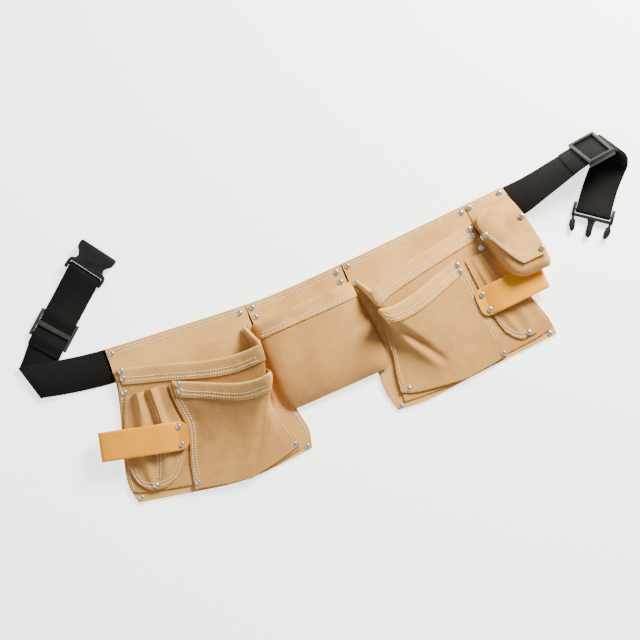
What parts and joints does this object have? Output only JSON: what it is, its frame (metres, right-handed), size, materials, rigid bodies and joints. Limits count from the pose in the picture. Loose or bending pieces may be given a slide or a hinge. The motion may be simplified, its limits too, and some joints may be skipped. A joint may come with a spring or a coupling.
{
  "type": "carpenter nail apron",
  "caption": "Leather carpenter's nail apron: two bags of gusseted pockets and tool sleeves round a turned middle pocket, hammer loops, a flap pouch, and a webbing waist belt with a buckle.",
  "frame": {"origin": "middle of the belt's width, on its flat back, between the two bags", "axes": "+X along the belt towards the small pouch, +Y up towards the waist edge, +Z out of the front of the pockets"},
  "size_m": [0.916, 0.4123, 0.0617],
  "materials": {
    "tan_leather": "rough split leather",
    "yellow_leather": "smooth grain leather",
    "webbing": "ribbed woven webbing",
    "slider_grey": "satin moulded plastic",
    "buckle_plastic": "satin moulded plastic",
    "nickel": "polished nickel plate"
  },
  "bodies": {
    "root": {"belt_webbing": "webbing", "slider_left": "slider_grey", "slider_right": "buckle_plastic", "buckle_female": "buckle_plastic", "buckle_male": "buckle_plastic", "panel_left": "tan_leather", "panel_centre": "tan_leather", "panel_right": "tan_leather", "main_pocket_left": "tan_leather", "main_hem_left": "tan_leather", "front_pocket_left": "tan_leather", "front_hem_left": "tan_leather", "sleeve_left": "tan_leather", "loop_left": "yellow_leather", "main_pocket_right": "tan_leather", "main_hem_right": "tan_leather", "front_pocket_right": "tan_leather", "front_hem_right": "tan_leather", "sleeve_right": "tan_leather", "loop_right": "yellow_leather", "centre_pocket": "tan_leather", "centre_hem": "tan_leather", "pouch_back": "tan_leather", "pouch_body": "tan_leather", "pouch_flap": "tan_leather", "rivet_01": "nickel", "rivet_02": "nickel", "rivet_03": "nickel", "rivet_04": "nickel", "rivet_05": "nickel", "rivet_06": "nickel", "rivet_07": "nickel", "rivet_08": "nickel", "rivet_09": "nickel", "rivet_10": "nickel", "rivet_11": "nickel", "rivet_12": "nickel", "rivet_13": "nickel", "rivet_14": "nickel", "rivet_15": "nickel", "rivet_16": "nickel", "rivet_17": "nickel", "rivet_18": "nickel", "rivet_19": "nickel", "rivet_20": "nickel", "rivet_21": "nickel", "rivet_22": "nickel", "rivet_23": "nickel", "rivet_24": "nickel", "rivet_25": "nickel", "rivet_26": "nickel", "rivet_27": "nickel", "rivet_28": "nickel", "rivet_29": "nickel", "rivet_30": "nickel", "rivet_31": "nickel", "rivet_32": "nickel", "rivet_33": "nickel", "rivet_34": "nickel", "rivet_35": "nickel"}
  },
  "joints": []
}
